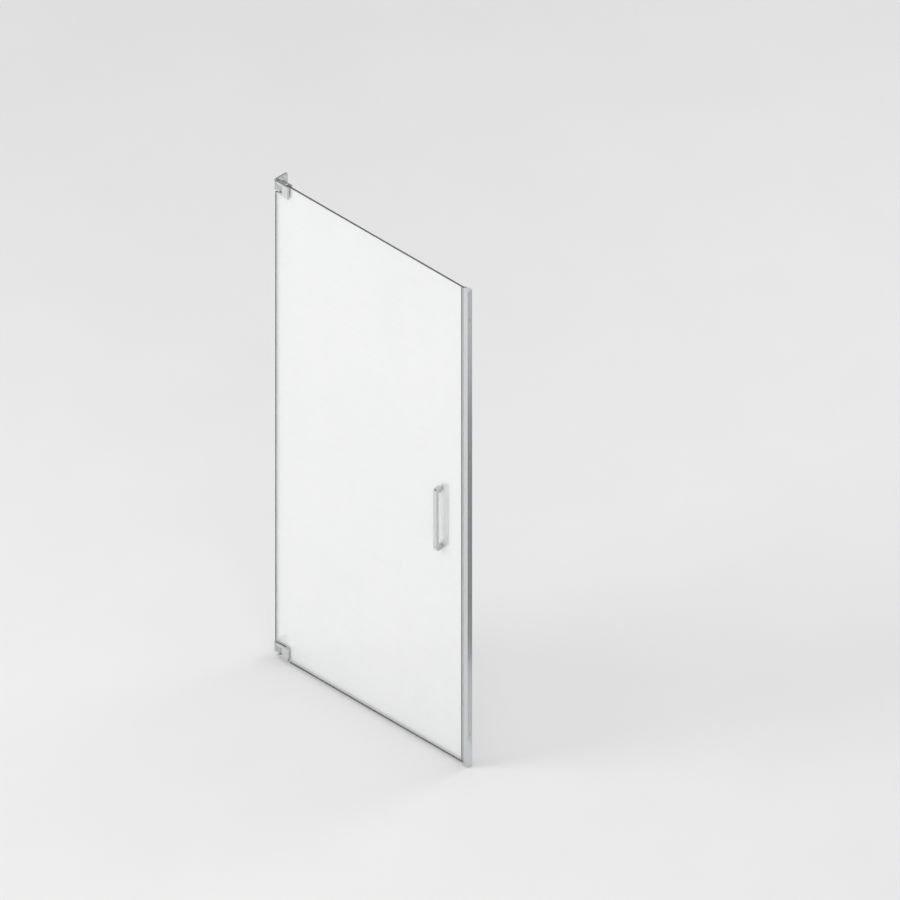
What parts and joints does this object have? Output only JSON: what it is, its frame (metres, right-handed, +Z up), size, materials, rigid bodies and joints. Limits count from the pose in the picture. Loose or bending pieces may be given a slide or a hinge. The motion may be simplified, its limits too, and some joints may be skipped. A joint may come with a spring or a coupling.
{
  "type": "pivot shower door",
  "caption": "Frameless glass pivot shower door for a niche, with wall-mounted corner hinges, a bar handle on both faces, clip-on seals and a magnetic strike profile.",
  "frame": {"origin": "wall face of the lower hinge plate, at the middle of the hinge's height and in line with the middle of the glass", "axes": "+X along the closed door from the hinge wall to the strike wall, +Y square to the glass towards the inside of the shower, +Z up"},
  "size_m": [0.945, 0.088, 2.002],
  "materials": {
    "chrome": "polished chrome on brass",
    "satin_chrome": "satin chrome on brass",
    "safety_glass": "clear toughened glass with ground edges",
    "clear_seal": "translucent soft PVC",
    "magnet": "magnet strip in a light grey jacket",
    "bright_aluminium": "bright anodised",
    "cap_plastic": "moulded, silver grey",
    "stainless": "stainless steel",
    "acetal": "black acetal",
    "gasket": "grey gasket"
  },
  "bodies": {
    "wall_side": {"lower_wall_plate": "chrome", "upper_wall_plate": "chrome", "lower_knuckle_block": "satin_chrome", "upper_knuckle_block": "satin_chrome", "lower_bush_bottom": "acetal", "lower_bush_top": "acetal", "upper_bush_bottom": "acetal", "upper_bush_top": "acetal", "block_screws": "stainless", "wall_channel": "bright_aluminium", "strike_profile": "bright_aluminium", "strike_seal": "clear_seal", "strike_magnet_strip": "magnet", "channel_top_cap": "cap_plastic", "channel_bottom_cap": "cap_plastic", "adjusting_screws": "stainless"},
    "door": {"glass_panel": "safety_glass", "lower_clamp_outer": "chrome", "upper_clamp_outer": "chrome", "lower_clamp_inner": "chrome", "upper_clamp_inner": "chrome", "lower_gasket_outer": "gasket", "lower_gasket_inner": "gasket", "upper_gasket_outer": "gasket", "upper_gasket_inner": "gasket", "lower_pivot_pin": "stainless", "upper_pivot_pin": "stainless", "pin_grub_screws": "stainless", "clamp_screws": "stainless", "outer_handle_bar": "chrome", "outer_handle_top_end": "chrome", "outer_handle_bottom_end": "chrome", "inner_handle_bar": "chrome", "inner_handle_top_end": "chrome", "inner_handle_bottom_end": "chrome", "handle_studs": "stainless", "handle_sleeves": "acetal", "handle_washers": "acetal", "handle_grub_screws": "stainless", "hinge_side_seal": "clear_seal", "bottom_seal": "clear_seal", "door_magnet_seal": "clear_seal", "door_magnet_strip": "magnet"}
  },
  "joints": [
    {"name": "door_swing", "type": "hinge", "parent": "wall_side", "child": "door", "pos_m": [0.034, 0.005, 0], "axis": [0, 0, -1], "range_deg": [0, 90]}
  ]
}
